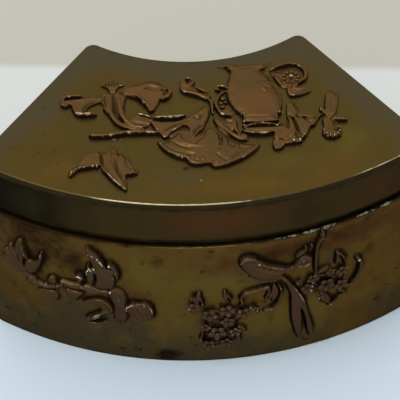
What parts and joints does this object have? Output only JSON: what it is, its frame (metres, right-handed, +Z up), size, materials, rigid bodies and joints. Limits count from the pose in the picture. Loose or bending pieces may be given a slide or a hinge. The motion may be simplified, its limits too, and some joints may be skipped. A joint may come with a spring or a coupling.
{
  "type": "trinket box",
  "caption": "Fan-shaped metal trinket box with a lift-off lid on an inner collar and applied bird-and-flower relief.",
  "frame": {"origin": "on the flat underside, at the middle of the plan", "axes": "+Z up, +X to the right along the width, the curved front toward -Y"},
  "size_m": [0.116, 0.0623, 0.0659],
  "materials": {
    "dark_bronze": "dark patina",
    "wall_brass": "mottled olive patina",
    "lid_brass": "worn olive patina",
    "lid_relief": "coppery worn relief",
    "front_relief": "dark coppery relief"
  },
  "bodies": {
    "base": {"base_floor": "dark_bronze", "base_wall": "wall_brass", "inner_collar": "dark_bronze", "left_spray": "front_relief", "bud_flower": "front_relief", "curled_leaf": "front_relief", "hook_leaf": "front_relief", "bird_body": "front_relief", "bird_wing": "front_relief", "bird_tail": "front_relief", "left_blossoms": "front_relief", "right_blossoms": "front_relief", "front_twig": "front_relief"},
    "lid": {"lid_skirt": "dark_bronze", "lid_plate": "lid_brass", "lily_flower": "lid_relief", "lid_twig": "lid_relief", "centre_leaves": "lid_relief", "big_leaf": "lid_relief", "folded_leaf": "lid_relief", "jar": "lid_relief", "jar_foot": "lid_relief", "rosette": "lid_relief", "right_leaves": "lid_relief", "right_flower": "lid_relief", "scroll": "lid_relief", "small_bird": "lid_relief"}
  },
  "joints": [
    {"name": "lid_lift", "type": "slide", "parent": "base", "child": "lid", "axis": [0, 0, 1], "range_m": [0, 0.08]}
  ]
}
